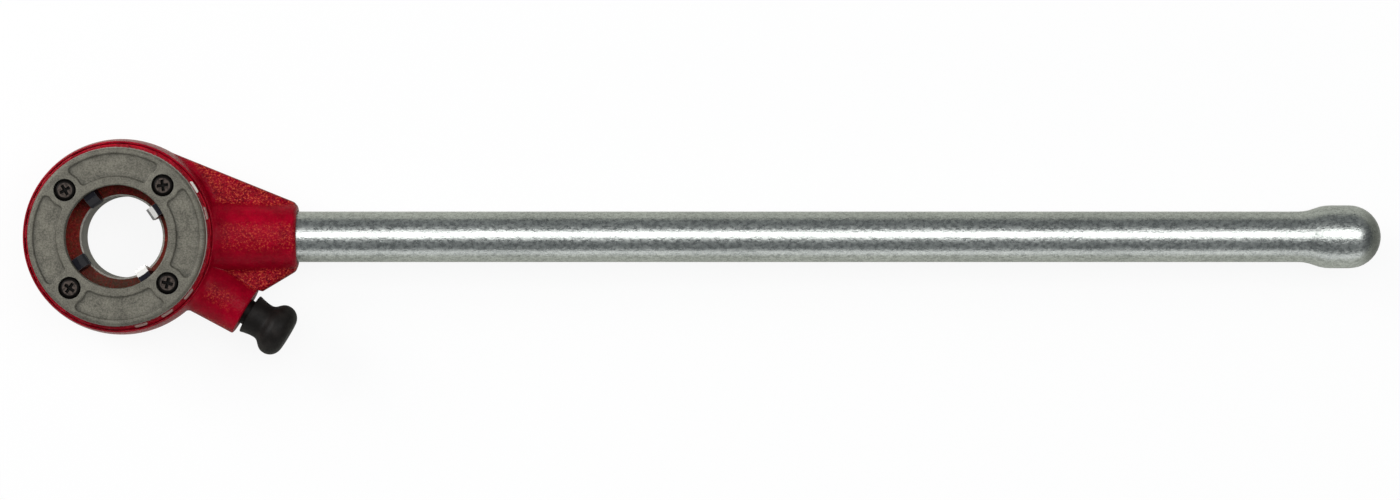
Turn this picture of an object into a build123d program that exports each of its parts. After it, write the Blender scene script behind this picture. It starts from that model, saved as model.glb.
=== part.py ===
from build123d import *

import os
from math import acos, asin, atan2, cos, hypot, pi, radians, sin, tan

# Manual ratchet pipe threader: a die head for 1-1/4 inch pipe, its ratchet ring with a spring pawl, and
# a pipe handle. Millimetres. The origin is on the bore axis at the back face of the pipe guide, +Z
# points to the cover plate and +X along the handle. The tool lies as on a bench, on its guide neck.

os.makedirs("parts", exist_ok=True)

# Pipe and thread
pipe_od = 42.16  # 1-1/4 inch pipe
thread_pitch = 2.209  # 11-1/2 threads to the inch
thread_depth = 1.6
thread_taper = 1 / 32  # change of radius for each millimetre of length
thread_teeth = 8

# Dies
die_count = 4
die_angle = 34.3
die_width = 6.4
die_height = 21.9
die_length = 24.3
die_seat_clearance = 0.1  # under the cover
die_bite_depth = 1.18  # of the tooth nearest the cover, into the pipe's surface
die_slot_clearance = 0.1
die_throat_teeth = 3  # cut back one after the other where the pipe enters
die_throat_step = 0.45
die_throat_bevel = 2.0
die_front_bevel = 2.6

# Die head body
guide_clearance = 0.42  # radial, pipe in guide
guide_length = 28.0
guide_wall = 9.0
guide_lead_in = 1.5  # chamfer where the pipe enters the guide
neck_length = 7.5
neck_blend = 5.0  # cone from the neck out to the lug drum, as long as this along the axis
neck_edge = 1.2
chamber_lip = 3.95  # the cover reaches inwards over the chamber by this much
body_wall = 1.5  # outside the die slots
lug_count = 20
lug_height = 2.8
lug_width = 7.5  # at the lug's root
lug_draft = 0.5  # each flank leans in by this much at the top
lug_corner_r = 0.8
lug_angle = 33.0  # one lug's centre, from +X
lug_front_drop = 1.0  # lug ends below the cover seat
lug_end_chamfer = 0.5
rim_drop = 2.4  # the rim that closes the gaps between the lugs, below the cover seat
rim_width = 4.6
rim_inset = 0.5  # radial, from the tops of the lugs
rim_edge_r = 0.4
collar_step = 0.6  # radial, the seat's collar outside the cover
collar_edge_r = 0.4

# Cover plate
plate_overhang = 0.75  # outside the drum
plate_bore_gap = 7.15  # radial, from the dies' crests
plate_thickness = 6.0
plate_edge_r = 1.6
plate_bore_edge_r = 0.7
panel_depth = 1.1
panel_slope = 35.0  # how far the panels' walls lean back
panel_rim = 2.65  # radial, outside the panels
panel_bore_rim = 4.15
panel_end_gap = 7.1  # from a panel's end to the screw's axis
panel_corner_r = 2.4
panel_edge_r = 0.8
screw_pad_r = 8.4

# Cover screws
screw_count = 4
screw_from_bore = 9.15  # the screws' circle, from the cover's bore
screw_angle = 47.8
screw_r = 2.6
screw_length = 15.0
screw_head_r = 5.5
screw_head_height = 3.4
screw_head_crown_r = 3.9
screw_head_crown_drop = 1.2
screw_head_clearance = 0.4
screw_hole_clearance = 0.08
screw_tip_gap = 1.0
screw_tip_chamfer = 0.8
screw_recess_span = 6.0
screw_recess_wing = 1.7
screw_recess_depth = 2.0
screw_recess_taper = 12.0
screw_head_crown_arc_r = 2.6
screw_turn = 8.0  # how the first screw's cross stands after tightening
screw_turn_step = 23.0  # and how much further each next one

# Ratchet ring
running_clearance = 0.4  # radial, lugs in ring
ring_wall = 2.65
ring_width = 34.0
ring_back_z = 11.0
ring_crown_height = 1.5  # how much the outside falls away from its middle to its faces
ring_edge_r = 0.5
ledge_height = 2.3  # radial, behind the lugs
ledge_thickness = 3.8
ledge_gap = 0.4  # axial, lugs to ledge

# Retaining ring, a wire ring in a groove of the bore that snaps into a groove around the lugs
wire_r = 0.9
wire_gap_angle = 24.0
wire_from_ledge = 4.2
wire_seat_clearance = 0.2
wire_stand_in = 0.9  # how far the wire reaches inside the bore
snap_clearance = 0.4

# Handle boss and webs
boss_length = 41.15  # out of the ring
boss_wall = 4.2  # around the handle at the mouth
boss_root_depth = 7.65  # the boss starts this far inside the ring's outside
boss_root_half_width = 19.6
boss_root_edge = 0.8  # from the ring's faces
boss_edge_r = 2.4
socket_depth = 33.0
socket_clearance = 0.05
socket_chamfer = 0.8
web_thickness = 10.0
web_edge_r = 3.0
web_corner_r = 4.0  # in plan, at the mouth of the handle boss
upper_web_rise = 1.25  # outside the handle boss, where the web's corner begins
lower_web_rise = 2.0
lower_web_reach = 2.3  # past the end of the pawl boss
web_inset_depth = 0.6  # the upper web starts this far inside the ring
web_end_gap = 0.8  # from the rounded edge of the handle boss to the webs' corners
web_tip_length = 4.6
web_tip_gap = 0.3  # the corners end this far short of the mouth
cast_fillet_r = 3.0  # where webs and bosses leave the ring

# Handle, a steel pipe swaged to a closed bulb
handle_r = 13.335  # 3/4 inch pipe
handle_wall = 2.87
handle_end_x = 664.4
bulb_r = 16.6
bulb_flare = 17.0
bulb_straight = 10.0

# Pawl and its boss
pawl_angle = -31.0
pawl_boss_root_r = 15.0
pawl_boss_end_r = 13.6
pawl_boss_edge_r = 1.0
pawl_r = 6.4
pawl_bore_clearance = 0.06
pawl_lift = 0.3  # stored riding just clear of the lugs
pawl_drop = 2.1  # travel from there to its seat between two lugs
pawl_blade_width = 5.2
pawl_blade_length = 4.6
pawl_bevel = 2.2
pawl_bevel_slope = 1.3
pawl_body_length = 8.1
pawl_end_wall = 2.6  # holds the spring
stem_r = 4.0
stem_clearance = 0.1
stem_chamfer = 0.6
hub_recess_depth = 3.2  # in the end of the boss, where the knob's hub slides
hub_recess_chamfer = 0.5

# Pawl spring
spring_wire_r = 0.7
spring_mean_r = 5.25
spring_turns = 5.0
spring_room = 13.4  # between the pawl's shoulder and the end wall
spring_seat_gap = 0.1

# Pawl knob, a turned spool, and the pin that holds it
knob_gap = 0.3  # base to boss when the pawl is seated
knob_base_r = 11.0
knob_base_edge_r = 0.6
knob_hub_r = 6.9
knob_hub_length = 2.9
knob_hub_clearance = 0.25
knob_neck_r = 9.8
knob_neck_from_base = 5.5
knob_waist_from_base = 9.2
knob_head_r = 14.1
knob_head_from_base = 16.8
knob_end_r = 7.6
knob_length = 23.6
knob_socket_depth = 15.0
knob_socket_clearance = 0.05
knob_socket_end_gap = 0.3
pin_r = 1.5
pin_from_base = 5.5
pin_clearance = 0.03
pin_chamfer = 0.3
pin_short = 0.6  # each end lies this far under the neck's surface

# Worked out from the above
overcut = 1.0  # how far a cut starts outside the face it goes through
guide_r = pipe_od / 2 + guide_clearance
die_crest_r = pipe_od / 2 - die_bite_depth
neck_r = guide_r + guide_wall
seat_z = guide_length + die_height + die_seat_clearance
plate_top_z = seat_z + plate_thickness
plate_bore_r = die_crest_r + plate_bore_gap
chamber_r = plate_bore_r + chamber_lip
die_outer_r = die_crest_r + die_length
slot_end_r = die_outer_r + die_slot_clearance
slot_width = die_width + 2 * die_slot_clearance
lug_root_r = slot_end_r + body_wall
lug_r = lug_root_r + lug_height
lug_front_z = seat_z - lug_front_drop
rim_r = lug_r - rim_inset
rim_front_z = seat_z - rim_drop
rim_back_z = rim_front_z - rim_width
plate_r = lug_root_r + plate_overhang
collar_r = plate_r + collar_step
panel_outer_r = plate_r - panel_rim
panel_inner_r = plate_bore_r + panel_bore_rim
screw_circle_r = plate_bore_r + screw_from_bore
panel_half_angle = pi / screw_count - asin(panel_end_gap / screw_circle_r)
ring_bore_r = lug_r + running_clearance
ring_r = ring_bore_r + ring_wall
ring_mid_z = ring_back_z + ring_width / 2
ring_front_z = ring_back_z + ring_width
ledge_r = ring_bore_r - ledge_height
ledge_front_z = ring_back_z + ledge_thickness
lug_back_z = ledge_front_z + ledge_gap
wire_z = ledge_front_z + wire_from_ledge
wire_centre_r = ring_bore_r - wire_stand_in + wire_r
socket_r = handle_r + socket_clearance
boss_root_x = ring_r - boss_root_depth
boss_root_half_height = ring_width / 2 - boss_root_edge
boss_end_x = ring_r + boss_length
boss_end_r = socket_r + boss_wall
socket_floor_x = boss_end_x - socket_depth
# All distances along the pawl are from the bore axis
pawl_bore_r = pawl_r + pawl_bore_clearance
pawl_tip = lug_r + pawl_lift
pawl_shoulder = pawl_tip + pawl_body_length
pawl_bore_end = pawl_shoulder + spring_room
hub_recess_floor = pawl_bore_end + pawl_end_wall
pawl_boss_end = hub_recess_floor + hub_recess_depth
hub_recess_r = knob_hub_r + knob_hub_clearance
knob_base = pawl_boss_end + pawl_drop + knob_gap
knob_hub_start = knob_base - knob_hub_length
counterbore_depth = screw_head_height + screw_head_clearance
screw_hole_depth = screw_length + counterbore_depth - plate_thickness + screw_tip_gap
pawl_direction = Vector(cos(radians(pawl_angle)), sin(radians(pawl_angle)), 0)
across_pawl = Vector(-sin(radians(pawl_angle)), cos(radians(pawl_angle)), 0)
axis_point = Vector(0, 0, ring_mid_z)

handle_plane = Plane(origin=axis_point, x_dir=(0, 1, 0), z_dir=(1, 0, 0))
pawl_plane = Plane(origin=axis_point, x_dir=across_pawl, z_dir=pawl_direction)
# Lengthwise plane of the pawl: local x runs outwards along the pawl, local y across it
pawl_long_plane = Plane(origin=axis_point, x_dir=pawl_direction, z_dir=(0, 0, 1))
pin_plane = Plane(
    origin=axis_point + pawl_direction * (knob_base + pin_from_base),
    x_dir=pawl_direction,
    z_dir=across_pawl,
)
handle_long_plane = Plane(origin=axis_point, x_dir=(1, 0, 0), z_dir=(0, 0, 1))
# Half sections of the ring are drawn on the side away from the handle: local x outwards, local y up
far_side_plane = Plane(origin=(0, 0, 0), x_dir=(-1, 0, 0), z_dir=(0, 1, 0))
pawl_axis = Axis(axis_point, pawl_direction)
handle_axis = Axis(axis_point, (1, 0, 0))


def written(part, label):
    """Labels a finished piece and writes it to its own file."""
    part.label = label
    export_step(part, f"parts/{label}.step")
    print(f"{label}: {part.volume / 1000:.2f} cm3, {len(part.faces())} faces")


# Upper web: its outer edge leaves the ring as a tangent and ends at the mouth of the handle boss
web_back_z = ring_mid_z - web_thickness / 2
web_start_r = ring_r - web_inset_depth
web_end_x = boss_end_x - boss_edge_r - web_end_gap
web_end_y = boss_end_r + upper_web_rise
web_start_angle = atan2(web_end_y, web_end_x) + acos(web_start_r / hypot(web_end_x, web_end_y))
web_start_x = web_start_r * cos(web_start_angle)
web_start_y = web_start_r * sin(web_start_angle)
web_edge_direction = (sin(web_start_angle), -cos(web_start_angle), 0)
with BuildPart() as upper_web:
    with BuildSketch(Plane.XY.offset(web_back_z)):
        Polygon(
            (web_start_x, 0),
            (web_start_x, web_start_y),
            (web_end_x, web_end_y),
            (web_end_x, 0),
            align=None,
        )
    extrude(amount=web_thickness)
    fillet(upper_web.edges().filter_by(Axis((0, 0, 0), web_edge_direction)), radius=web_edge_r)

# Lower web: from the mouth of the handle boss to the end of the pawl boss
mouth_corner = Vector(web_end_x, -boss_end_r - lower_web_rise, 0)
pawl_corner = pawl_direction * (pawl_boss_end + lower_web_reach) + across_pawl * pawl_boss_end_r
pawl_side = pawl_direction * (pawl_boss_end - pawl_boss_edge_r) + across_pawl * (
    pawl_boss_end_r - pawl_boss_edge_r
)
with BuildPart() as lower_web:
    with BuildSketch(Plane.XY.offset(web_back_z)):
        Polygon(
            (web_start_x, 0),
            (web_end_x, 0),
            (mouth_corner.X, mouth_corner.Y),
            (pawl_corner.X, pawl_corner.Y),
            (pawl_side.X, pawl_side.Y),
            align=None,
        )
    extrude(amount=web_thickness)
    outer_edges = lower_web.edges().filter_by(Axis((0, 0, 0), mouth_corner - pawl_corner))
    fillet(outer_edges, radius=web_edge_r)


def mouth_tip(end_y, slope):
    """Builds the end of a web at the mouth of the handle boss, where its edge goes round the corner."""
    tip_x = boss_end_x - web_tip_gap
    tip_y = end_y + (tip_x - web_end_x) * slope
    start_x = tip_x - web_tip_length
    start_y = end_y + (start_x - web_end_x) * slope
    with BuildPart() as tip:
        with BuildSketch(Plane.XY.offset(web_back_z)) as plan:
            Polygon((start_x, 0), (start_x, start_y), (tip_x, tip_y), (tip_x, 0), align=None)
            fillet(plan.vertices().sort_by_distance((tip_x, tip_y))[0], radius=web_corner_r)
        extrude(amount=web_thickness)
        fillet(tip.edges().filter_by(GeomType.CIRCLE), radius=web_edge_r)
    return tip.part


with BuildPart() as pawl_boss:
    with BuildSketch(pawl_plane.offset(lug_r)):
        Circle(pawl_boss_root_r)
    with BuildSketch(pawl_plane.offset(pawl_boss_end)):
        Circle(pawl_boss_end_r)
    loft()
    fillet(pawl_boss.faces().sort_by(pawl_axis)[-1].edges(), radius=pawl_boss_edge_r)

with BuildPart() as ratchet_housing:
    with BuildSketch(far_side_plane) as ring_half:
        with BuildLine():
            Polyline(
                (ring_r - ring_crown_height, ring_back_z),
                (0, ring_back_z),
                (0, ring_front_z),
                (ring_r - ring_crown_height, ring_front_z),
            )
            ThreePointArc(
                (ring_r - ring_crown_height, ring_front_z),
                (ring_r, ring_mid_z),
                (ring_r - ring_crown_height, ring_back_z),
            )
        make_face()
        fillet(ring_half.vertices().group_by(Axis.X)[-1], radius=ring_edge_r)
    revolve(axis=Axis.Z)
    add(pawl_boss.part)
    with BuildSketch(handle_plane.offset(boss_root_x)):
        Ellipse(boss_root_half_width, boss_root_half_height)
    with BuildSketch(handle_plane.offset(boss_end_x)):
        Circle(boss_end_r)
    loft()
    add(upper_web.part)
    add(lower_web.part)
    # Cast fillets: round the ring where webs and bosses leave it, and along the handle boss
    ring_side = ratchet_housing.faces().filter_by(GeomType.REVOLUTION)
    flat_levels = ratchet_housing.faces().filter_by(Plane.XY).group_by(Axis.Z)
    web_faces = flat_levels[1] + flat_levels[2]
    root_edges = (ring_side + web_faces).edges().filter_by(GeomType.BSPLINE)
    fillet(root_edges, radius=cast_fillet_r)
    fillet(ratchet_housing.edges().group_by(Axis.X)[-1], radius=boss_edge_r)
    add(mouth_tip(web_end_y, web_edge_direction[1] / web_edge_direction[0]))
    lower_edge_direction = mouth_corner - pawl_corner
    add(mouth_tip(mouth_corner.Y, lower_edge_direction.Y / lower_edge_direction.X))
    # Ring bore with its ledge, then the wire's groove
    with BuildSketch(far_side_plane):
        Polygon(
            (0, ring_back_z - overcut),
            (ledge_r, ring_back_z - overcut),
            (ledge_r, ledge_front_z),
            (ring_bore_r, ledge_front_z),
            (ring_bore_r, ring_front_z - ring_edge_r),
            (ring_bore_r + ring_edge_r, ring_front_z),
            (ring_bore_r + ring_edge_r, ring_front_z + overcut),
            (0, ring_front_z + overcut),
            align=None,
        )
    revolve(axis=Axis.Z, mode=Mode.SUBTRACT)
    with BuildSketch(far_side_plane):
        with Locations((wire_centre_r, wire_z)):
            Circle(wire_r + wire_seat_clearance)
    revolve(axis=Axis.Z, mode=Mode.SUBTRACT)
    # Handle socket with its chamfered mouth
    with BuildSketch(handle_long_plane):
        Polygon(
            (socket_floor_x, 0),
            (socket_floor_x, socket_r),
            (boss_end_x - socket_chamfer, socket_r),
            (boss_end_x, socket_r + socket_chamfer),
            (boss_end_x + overcut, socket_r + socket_chamfer),
            (boss_end_x + overcut, 0),
            align=None,
        )
    revolve(axis=handle_axis, mode=Mode.SUBTRACT)
    # Pawl bore, then the stem hole and the recess for the knob's hub
    with BuildSketch(pawl_plane.offset(ledge_r)):
        Circle(pawl_bore_r)
    extrude(amount=pawl_bore_end - ledge_r, mode=Mode.SUBTRACT)
    with BuildSketch(pawl_long_plane):
        Polygon(
            (pawl_bore_end - overcut, 0),
            (pawl_bore_end - overcut, stem_r + stem_clearance),
            (hub_recess_floor, stem_r + stem_clearance),
            (hub_recess_floor, hub_recess_r),
            (pawl_boss_end - hub_recess_chamfer, hub_recess_r),
            (pawl_boss_end, hub_recess_r + hub_recess_chamfer),
            (pawl_boss_end + overcut, hub_recess_r + hub_recess_chamfer),
            (pawl_boss_end + overcut, 0),
            align=None,
        )
    revolve(axis=pawl_axis, mode=Mode.SUBTRACT)

# Handle: the tube's end stands on the socket's floor
bulb_centre_x = handle_end_x - bulb_r
flare_end_x = bulb_centre_x - bulb_straight
flare_start_x = flare_end_x - bulb_flare


def handle_outline(inset):
    """Draws the tube's line from its open end to the tip of the bulb, inset from the outside."""
    tube, bulb = handle_r - inset, bulb_r - inset
    half_flare = ((flare_start_x + flare_end_x) / 2, (tube + bulb) / 2)
    Line((socket_floor_x, tube), (flare_start_x, tube))
    rise = TangentArc((flare_start_x, tube), half_flare, tangent=(1, 0))
    TangentArc(half_flare, (flare_end_x, bulb), tangent=rise % 1)
    Line((flare_end_x, bulb), (bulb_centre_x, bulb))
    TangentArc((bulb_centre_x, bulb), (handle_end_x - inset, 0), tangent=(1, 0))


with BuildPart() as handle:
    with BuildSketch(handle_long_plane):
        with BuildLine():
            handle_outline(0)
            handle_outline(handle_wall)
            Line((socket_floor_x, handle_r), (socket_floor_x, handle_r - handle_wall))
            Line((handle_end_x, 0), (handle_end_x - handle_wall, 0))
        make_face()
    revolve(axis=handle_axis)

# Retaining ring: sprung wire, open on the side away from the handle
wire_start = radians(180 + wire_gap_angle / 2)
wire_plane = Plane(
    origin=(0, 0, 0),
    x_dir=(cos(wire_start), sin(wire_start), 0),
    z_dir=(sin(wire_start), -cos(wire_start), 0),
)
with BuildPart() as retaining_ring:
    with BuildSketch(wire_plane):
        with Locations((wire_centre_r, wire_z)):
            Circle(wire_r)
    revolve(axis=Axis.Z, revolution_arc=360 - wire_gap_angle)

with BuildPart() as die_head_body:
    with BuildSketch(Plane.XZ) as body_half:
        Polygon(
            (guide_r + guide_lead_in, 0),
            (neck_r - neck_edge, 0),
            (neck_r, neck_edge),
            (neck_r, neck_length),
            (lug_root_r, neck_length + neck_blend),
            (lug_root_r, rim_back_z),
            (rim_r, rim_back_z + rim_r - lug_root_r),
            (rim_r, rim_front_z),
            (collar_r, rim_front_z),
            (collar_r, seat_z),
            (chamber_r, seat_z),
            (chamber_r, guide_length),
            (guide_r, guide_length),
            (guide_r, guide_lead_in),
            align=None,
        )
        rim_corner = body_half.vertices().sort_by_distance((rim_r, rim_front_z))[0]
        fillet(rim_corner, radius=rim_edge_r)
        collar_corner = body_half.vertices().sort_by_distance((collar_r, seat_z))[0]
        fillet(collar_corner, radius=collar_edge_r)
    revolve(axis=Axis.Z)
    # Ratchet lugs: each flank leans in towards the top, and both ends are chamfered
    with BuildSketch(Plane.XY.offset(lug_back_z)) as lugs:
        with PolarLocations(0, lug_count, start_angle=lug_angle):
            Polygon(
                (lug_root_r - lug_height, lug_width / 2),
                (lug_root_r, lug_width / 2),
                (lug_r + lug_height, lug_width / 2 - 2 * lug_draft),
                (lug_r + lug_height, 2 * lug_draft - lug_width / 2),
                (lug_root_r, -lug_width / 2),
                (lug_root_r - lug_height, -lug_width / 2),
                align=None,
            )
        Circle(lug_r, mode=Mode.INTERSECT)
        tops = [v for v in lugs.vertices() if hypot(v.X, v.Y) > lug_root_r + lug_height / 2]
        fillet(tops, radius=lug_corner_r)
    extrude(amount=lug_front_z - lug_back_z)
    for end_z, inward in ((lug_back_z, 1), (lug_front_z, -1)):
        with BuildSketch(Plane.XZ):
            Polygon(
                (lug_r - lug_end_chamfer, end_z),
                (lug_r + overcut, end_z),
                (lug_r + overcut, end_z + inward * (lug_end_chamfer + overcut)),
                align=None,
            )
        revolve(axis=Axis.Z, mode=Mode.SUBTRACT)
    # Snap groove around the lugs
    with BuildSketch(Plane.XZ):
        with Locations((wire_centre_r, wire_z)):
            Circle(wire_r + snap_clearance)
    revolve(axis=Axis.Z, mode=Mode.SUBTRACT)
    # Die slots and screw holes, open to the cover seat
    with BuildSketch(Plane.XY.offset(guide_length)):
        with PolarLocations(slot_end_r, die_count, start_angle=die_angle):
            Rectangle(slot_end_r - guide_r, slot_width, align=(Align.MAX, Align.CENTER))
    extrude(amount=seat_z - guide_length, mode=Mode.SUBTRACT)
    with Locations(Plane.XY.offset(seat_z)):
        with PolarLocations(screw_circle_r, screw_count, start_angle=screw_angle):
            Hole(radius=screw_r + screw_hole_clearance, depth=screw_hole_depth)


def die_outline():
    """Draws a die's long side: local x outwards from the bore axis, local y up."""
    top = seat_z - die_seat_clearance
    first = top - die_front_bevel
    teeth = []
    for tooth in range(thread_teeth):
        cut_back = max(tooth + 1 + die_throat_teeth - thread_teeth, 0) * die_throat_step
        for step, rise in ((0, thread_depth), (0.5, cut_back)):
            down = (tooth + step) * thread_pitch
            teeth.append((die_crest_r + rise + down * thread_taper, first - down))
    last = thread_teeth * thread_pitch
    throat_r = die_crest_r + thread_depth + last * thread_taper
    return [
        (die_outer_r, top),
        (die_crest_r + thread_depth + die_front_bevel, top),
        *teeth,
        (throat_r, first - last),
        (throat_r + die_throat_bevel, guide_length),
        (die_outer_r, guide_length),
    ]


dies = []
for number in range(die_count):
    angle = radians(die_angle + number * 360 / die_count)
    die_plane = Plane(
        origin=(0, 0, 0),
        x_dir=(cos(angle), sin(angle), 0),
        z_dir=(sin(angle), -cos(angle), 0),
    )
    with BuildPart() as die:
        with BuildSketch(die_plane):
            Polygon(*die_outline(), align=None)
        extrude(amount=die_width / 2, both=True)
    dies.append(die)

with BuildPart() as cover_plate:
    with BuildSketch(Plane.XY.offset(seat_z)):
        Circle(plate_r)
        Circle(plate_bore_r, mode=Mode.SUBTRACT)
    extrude(amount=plate_thickness)
    top_edges = cover_plate.edges().group_by(Axis.Z)[-1].sort_by(SortBy.RADIUS)
    fillet(top_edges[-1], radius=plate_edge_r)
    bore_edge = cover_plate.edges().group_by(Axis.Z)[-1].sort_by(SortBy.RADIUS)[0]
    fillet(bore_edge, radius=plate_bore_edge_r)
    # Sunk panels between the screw pads
    with BuildSketch(Plane.XY.offset(plate_top_z)) as panels:
        with PolarLocations(0, screw_count, start_angle=screw_angle - 180 / screw_count):
            Polygon(
                (0, 0),
                (plate_r, plate_r * tan(panel_half_angle)),
                (plate_r, -plate_r * tan(panel_half_angle)),
                align=None,
            )
        Circle(panel_outer_r, mode=Mode.INTERSECT)
        Circle(panel_inner_r, mode=Mode.SUBTRACT)
        with PolarLocations(screw_circle_r, screw_count, start_angle=screw_angle):
            Circle(screw_pad_r, mode=Mode.SUBTRACT)
        by_radius = panels.vertices().group_by(lambda v: round(hypot(v.X, v.Y), 3))
        fillet(by_radius[0] + by_radius[-1], radius=panel_corner_r)
    extrude(amount=-panel_depth, taper=panel_slope, mode=Mode.SUBTRACT)
    panel_edges = cover_plate.edges(Select.LAST).group_by(Axis.Z)
    fillet(panel_edges[0] + panel_edges[-1], radius=panel_edge_r)
    with Locations(Plane.XY.offset(plate_top_z)):
        with PolarLocations(screw_circle_r, screw_count, start_angle=screw_angle):
            CounterBoreHole(
                radius=screw_r + screw_hole_clearance,
                counter_bore_radius=screw_head_r + screw_head_clearance,
                counter_bore_depth=counterbore_depth,
                depth=plate_thickness,
            )

cover_screws = []
for number in range(screw_count):
    angle = radians(screw_angle + number * 360 / screw_count)
    screw_x, screw_y = screw_circle_r * cos(angle), screw_circle_r * sin(angle)
    head_seat_z = plate_top_z - counterbore_depth
    head_top_z = head_seat_z + screw_head_height
    screw_plane = Plane(origin=(screw_x, screw_y, head_seat_z), x_dir=(1, 0, 0), z_dir=(0, -1, 0))
    with BuildPart() as cover_screw:
        with BuildSketch(screw_plane):
            with BuildLine():
                Polyline(
                    (0, screw_head_height),
                    (0, -screw_length),
                    (screw_r - screw_tip_chamfer, -screw_length),
                    (screw_r, screw_tip_chamfer - screw_length),
                    (screw_r, 0),
                    (screw_head_r, 0),
                    (screw_head_r, screw_head_height - screw_head_crown_drop),
                )
                RadiusArc(
                    (screw_head_r, screw_head_height - screw_head_crown_drop),
                    (screw_head_crown_r, screw_head_height),
                    -screw_head_crown_arc_r,
                )
                Line((screw_head_crown_r, screw_head_height), (0, screw_head_height))
            make_face()
        revolve(axis=Axis((screw_x, screw_y, 0), (0, 0, 1)))
        with BuildSketch(Plane(origin=(screw_x, screw_y, head_top_z), z_dir=(0, 0, 1))):
            for wing in (0, 90):
                turn = screw_turn + number * screw_turn_step + wing
                Rectangle(screw_recess_span, screw_recess_wing, rotation=turn)
        extrude(amount=-screw_recess_depth, taper=screw_recess_taper, mode=Mode.SUBTRACT)
    cover_screws.append(cover_screw)

# Pawl: a blade between the lugs, a round body that slides in the boss, and a stem out to the knob
pawl_blade_end = pawl_tip + pawl_blade_length
stem_end = knob_base + knob_socket_depth - knob_socket_end_gap
with BuildPart() as pawl:
    with BuildSketch(pawl_plane.offset(pawl_tip)):
        Rectangle(pawl_blade_width, 2 * pawl_r)
        Circle(pawl_r, mode=Mode.INTERSECT)
    extrude(amount=pawl_blade_length)
    with BuildSketch(pawl_plane.offset(pawl_blade_end)):
        Circle(pawl_r)
    extrude(amount=pawl_shoulder - pawl_blade_end)
    with BuildSketch(pawl_plane.offset(pawl_shoulder)):
        Circle(stem_r)
    extrude(amount=stem_end - pawl_shoulder)
    with BuildSketch(pawl_long_plane):
        Polygon(
            (pawl_tip, pawl_blade_width / 2),
            (pawl_tip, pawl_blade_width / 2 - pawl_bevel),
            (pawl_tip + pawl_bevel * pawl_bevel_slope, pawl_blade_width / 2),
            align=None,
        )
    extrude(amount=pawl_r, both=True, mode=Mode.SUBTRACT)
    with BuildSketch(pin_plane):
        Circle(pin_r + pin_clearance)
    extrude(amount=stem_r, both=True, mode=Mode.SUBTRACT)
    chamfer(pawl.edges().group_by(pawl_axis)[-1], length=stem_chamfer)

# Spring: round wire between the pawl's shoulder and the boss's end wall
spring_start = pawl_shoulder + spring_seat_gap + spring_wire_r
spring_end = pawl_bore_end - spring_seat_gap - spring_wire_r
with BuildPart() as pawl_spring:
    with BuildLine() as coil:
        Helix(
            pitch=(spring_end - spring_start) / spring_turns,
            height=spring_end - spring_start,
            radius=spring_mean_r,
            center=axis_point + pawl_direction * spring_start,
            direction=pawl_direction,
        )
    with BuildSketch(Plane(origin=coil.line @ 0, z_dir=coil.line % 0)):
        Circle(spring_wire_r)
    sweep(is_frenet=True)

# Knob: a turned spool with a socket for the stem, held by a pin across its neck
neck = knob_base + knob_neck_from_base
waist = knob_base + knob_waist_from_base
head = knob_base + knob_head_from_base
knob_end = knob_base + knob_length
with BuildPart() as pawl_knob:
    with BuildSketch(pawl_long_plane) as knob_half:
        with BuildLine():
            Polyline(
                (knob_hub_start, stem_r + knob_socket_clearance),
                (knob_hub_start, knob_hub_r),
                (knob_base, knob_hub_r),
                (knob_base, knob_base_r),
            )
            Spline(
                (knob_base, knob_base_r),
                (neck, knob_neck_r),
                (waist, knob_neck_r),
                (head, knob_head_r),
                tangents=[(1, -0.35), (1, 0)],
            )
            TangentArc((head, knob_head_r), (knob_end, knob_end_r), tangent=(1, 0))
            Polyline(
                (knob_end, knob_end_r),
                (knob_end, 0),
                (knob_base + knob_socket_depth, 0),
                (knob_base + knob_socket_depth, stem_r + knob_socket_clearance),
                (knob_hub_start, stem_r + knob_socket_clearance),
            )
        make_face()
        base_corner = knob_half.vertices().sort_by_distance((knob_base, knob_base_r))[0]
        fillet(base_corner, radius=knob_base_edge_r)
    revolve(axis=pawl_axis)
    with BuildSketch(pin_plane):
        Circle(pin_r + pin_clearance)
    extrude(amount=knob_base_r, both=True, mode=Mode.SUBTRACT)

with BuildPart() as knob_pin:
    with BuildSketch(pin_plane):
        Circle(pin_r)
    extrude(amount=knob_neck_r - pin_short, both=True)
    chamfer(knob_pin.edges().filter_by(GeomType.CIRCLE), length=pin_chamfer)

for node, label in (
    (ratchet_housing, "ratchet_housing"),
    (handle, "handle"),
    (retaining_ring, "retaining_ring"),
    (die_head_body, "die_head_body"),
    (cover_plate, "cover_plate"),
    (pawl, "pawl"),
    (pawl_spring, "pawl_spring"),
    (pawl_knob, "pawl_knob"),
    (knob_pin, "knob_pin"),
):
    written(node.part, label)
for number, die in enumerate(dies, 1):
    written(die.part, f"die_{number}")
for number, cover_screw in enumerate(cover_screws, 1):
    written(cover_screw.part, f"cover_screw_{number}")
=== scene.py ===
"""Finishes, light and camera for a manual ratchet pipe threader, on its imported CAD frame."""

from __future__ import annotations

import logging
import math
from abc import ABC, abstractmethod
from dataclasses import dataclass, field
from enum import Enum
from typing import Mapping, Sequence, Union

import bmesh
import bpy
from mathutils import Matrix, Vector, noise

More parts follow.
